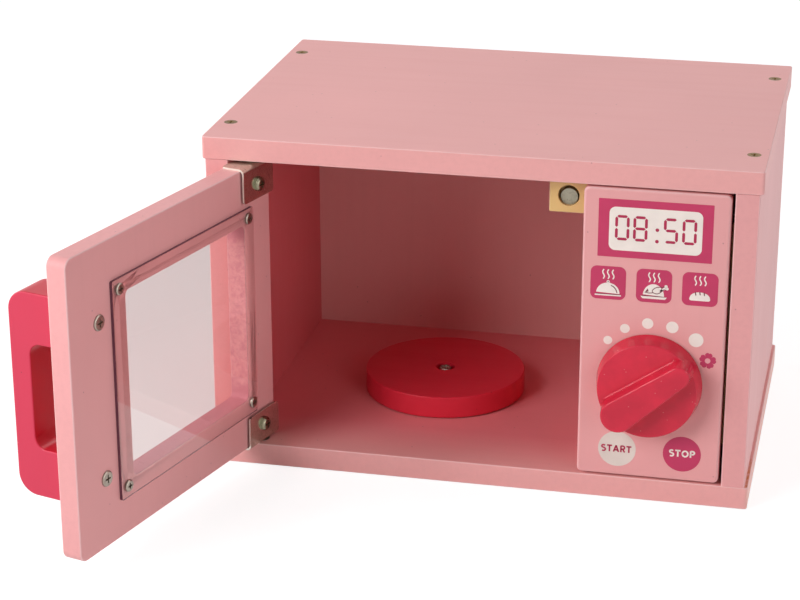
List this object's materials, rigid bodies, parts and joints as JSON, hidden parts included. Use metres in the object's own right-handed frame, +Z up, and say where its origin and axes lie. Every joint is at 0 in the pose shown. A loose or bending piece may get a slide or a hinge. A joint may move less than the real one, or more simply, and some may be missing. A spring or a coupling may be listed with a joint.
{
  "type": "wooden toy microwave oven",
  "caption": "Pink wooden toy microwave with a hinged window door, wooden turntable, turning timer knob and a printed control panel",
  "frame": {"origin": "Centre of the case's underside, on the surface that the toy stands on.", "axes": "X to the right as seen from the front, Y to the back, Z up. The door stands open on the left at the rest pose."},
  "size_m": [0.3411, 0.355, 0.181],
  "materials": {
    "pink_paint": "satin pink paint over wood",
    "back_panel_paint": "satin pink paint over thin board",
    "crimson_paint": "satin crimson paint over wood",
    "crimson_plastic": "gloss",
    "clear_acrylic": "clear",
    "plain_wood": "unfinished",
    "lacquered_wood": "clear lacquer",
    "nickel_plate": "bright nickel plate",
    "nickel_steel": "nickel plated",
    "yellow_zinc": "yellow zinc plated",
    "magnet_metal": "matte grey",
    "pink_paint_metal": "painted over"
  },
  "bodies": {
    "case": {"top_panel": "pink_paint", "bottom_panel": "pink_paint", "left_side_panel": "pink_paint", "right_side_panel": "pink_paint", "back_panel": "back_panel_paint", "divider_panel": "pink_paint", "control_panel": "pink_paint", "control_panel_cleat": "plain_wood", "top_case_screws": "yellow_zinc", "bottom_case_screws": "yellow_zinc", "divider_dowels": "plain_wood", "control_panel_dowels": "plain_wood", "magnet_block": "lacquered_wood", "catch_magnet": "magnet_metal", "upper_hinge_pivot": "nickel_steel", "lower_hinge_pivot": "nickel_steel", "hinge_washers": "nickel_steel", "turntable_screw": "nickel_steel", "turntable_washer": "nickel_steel"},
    "door": {"door_panel": "pink_paint", "window_pane": "clear_acrylic", "window_screws": "nickel_steel", "door_handle": "crimson_paint", "handle_screws": "nickel_steel", "upper_hinge_bracket": "nickel_plate", "lower_hinge_bracket": "nickel_plate", "hinge_bracket_screws": "nickel_steel", "hinge_bracket_washers": "nickel_steel", "door_strike_disc": "pink_paint_metal"},
    "turntable": {"turntable_disc": "crimson_paint"},
    "knob": {"control_knob": "crimson_plastic", "knob_screw": "nickel_steel", "knob_washer": "nickel_steel"}
  },
  "joints": [
    {"name": "door_hinge", "type": "hinge", "parent": "case", "child": "door", "pos_m": [-0.117, -0.0922, 0.0905], "axis": [0, 0, 1], "range_deg": [-5, 105.6]},
    {"name": "turntable_spin", "type": "hinge", "parent": "case", "child": "turntable", "pos_m": [-0.0344, -0.0042, 0.0187], "axis": [0, 0, 1], "continuous": true},
    {"name": "knob_turn", "type": "hinge", "parent": "case", "child": "knob", "pos_m": [0.0902, -0.105, 0.0654], "axis": [0, -1, 0], "continuous": true}
  ]
}
